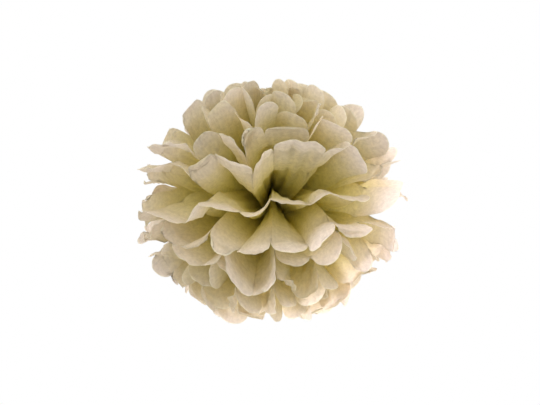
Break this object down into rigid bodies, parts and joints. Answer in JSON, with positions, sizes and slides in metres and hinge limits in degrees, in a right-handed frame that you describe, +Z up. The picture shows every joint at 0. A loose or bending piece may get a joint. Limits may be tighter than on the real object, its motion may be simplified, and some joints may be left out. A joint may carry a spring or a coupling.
{
  "type": "tissue paper pom pom",
  "caption": "Ball-shaped pom pom of pleated tissue paper sheets, tied round the waist with wire and fluffed into rounded petals.",
  "frame": {"origin": "middle of the tie, where the wire pinches all the sheets and every petal starts", "axes": "+Z up the ball's axis, square to the stacked sheets; -Y faces the viewer of the picture"},
  "size_m": [0.3476, 0.3428, 0.3047],
  "materials": {
    "tissue": "matte",
    "wire": "satin"
  },
  "bodies": {
    "root": {"sheet_top": "tissue", "sheet_upper_4": "tissue", "sheet_upper_3": "tissue", "sheet_upper_2": "tissue", "sheet_upper_1": "tissue", "sheet_middle": "tissue", "sheet_lower_1": "tissue", "sheet_lower_2": "tissue", "sheet_lower_3": "tissue", "sheet_lower_4": "tissue", "sheet_bottom": "tissue", "waist_wire": "wire"}
  },
  "joints": []
}
